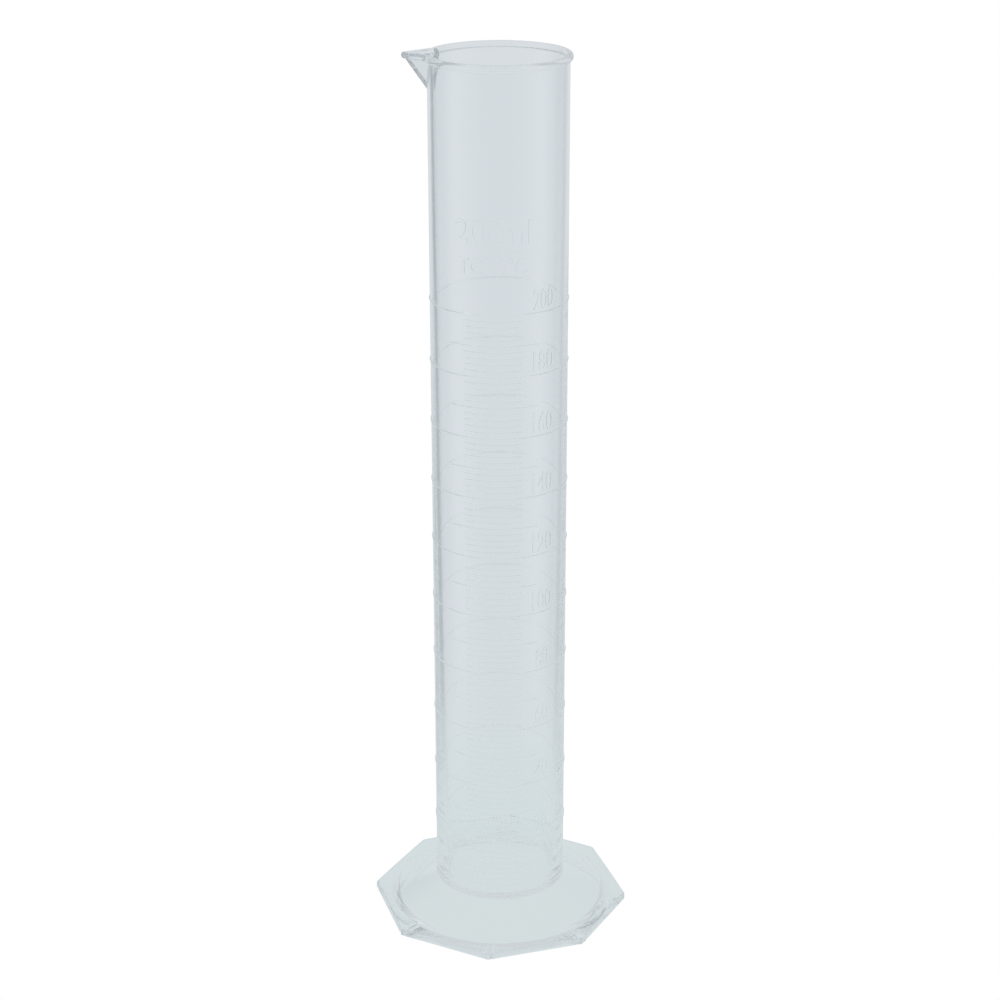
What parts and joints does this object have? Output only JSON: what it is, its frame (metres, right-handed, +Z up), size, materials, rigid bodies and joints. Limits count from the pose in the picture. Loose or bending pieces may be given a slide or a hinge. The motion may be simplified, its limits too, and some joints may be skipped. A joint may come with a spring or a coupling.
{
  "type": "graduated cylinder",
  "caption": "Clear plastic measuring cylinder: straight tube with a beaded rim and a pointed pouring spout, raised volume scale, on a hollow octagonal foot.",
  "frame": {"origin": "centre of the foot's underside, on the surface that the cylinder stands on", "axes": "+Z up along the tube; -X is the side that the pouring spout points to; -Y is the side that the scale faces"},
  "size_m": [0.0804, 0.0804, 0.2712],
  "materials": {
    "clear_plastic": "clear gloss, faint cool grey tint",
    "graduations": "clear gloss, raised lines of the same moulding"
  },
  "bodies": {
    "root": {"tube": "clear_plastic", "tube_floor": "clear_plastic", "rim": "clear_plastic", "spout": "clear_plastic", "foot_skirt": "clear_plastic", "foot_rim": "clear_plastic", "ring_020_ml": "graduations", "ring_040_ml": "graduations", "ring_060_ml": "graduations", "ring_080_ml": "graduations", "ring_100_ml": "graduations", "ring_120_ml": "graduations", "ring_140_ml": "graduations", "ring_160_ml": "graduations", "ring_180_ml": "graduations", "ring_200_ml": "graduations", "mark_010_ml": "graduations", "mark_030_ml": "graduations", "mark_050_ml": "graduations", "mark_070_ml": "graduations", "mark_090_ml": "graduations", "mark_110_ml": "graduations", "mark_130_ml": "graduations", "mark_150_ml": "graduations", "mark_170_ml": "graduations", "mark_190_ml": "graduations"}
  },
  "joints": []
}
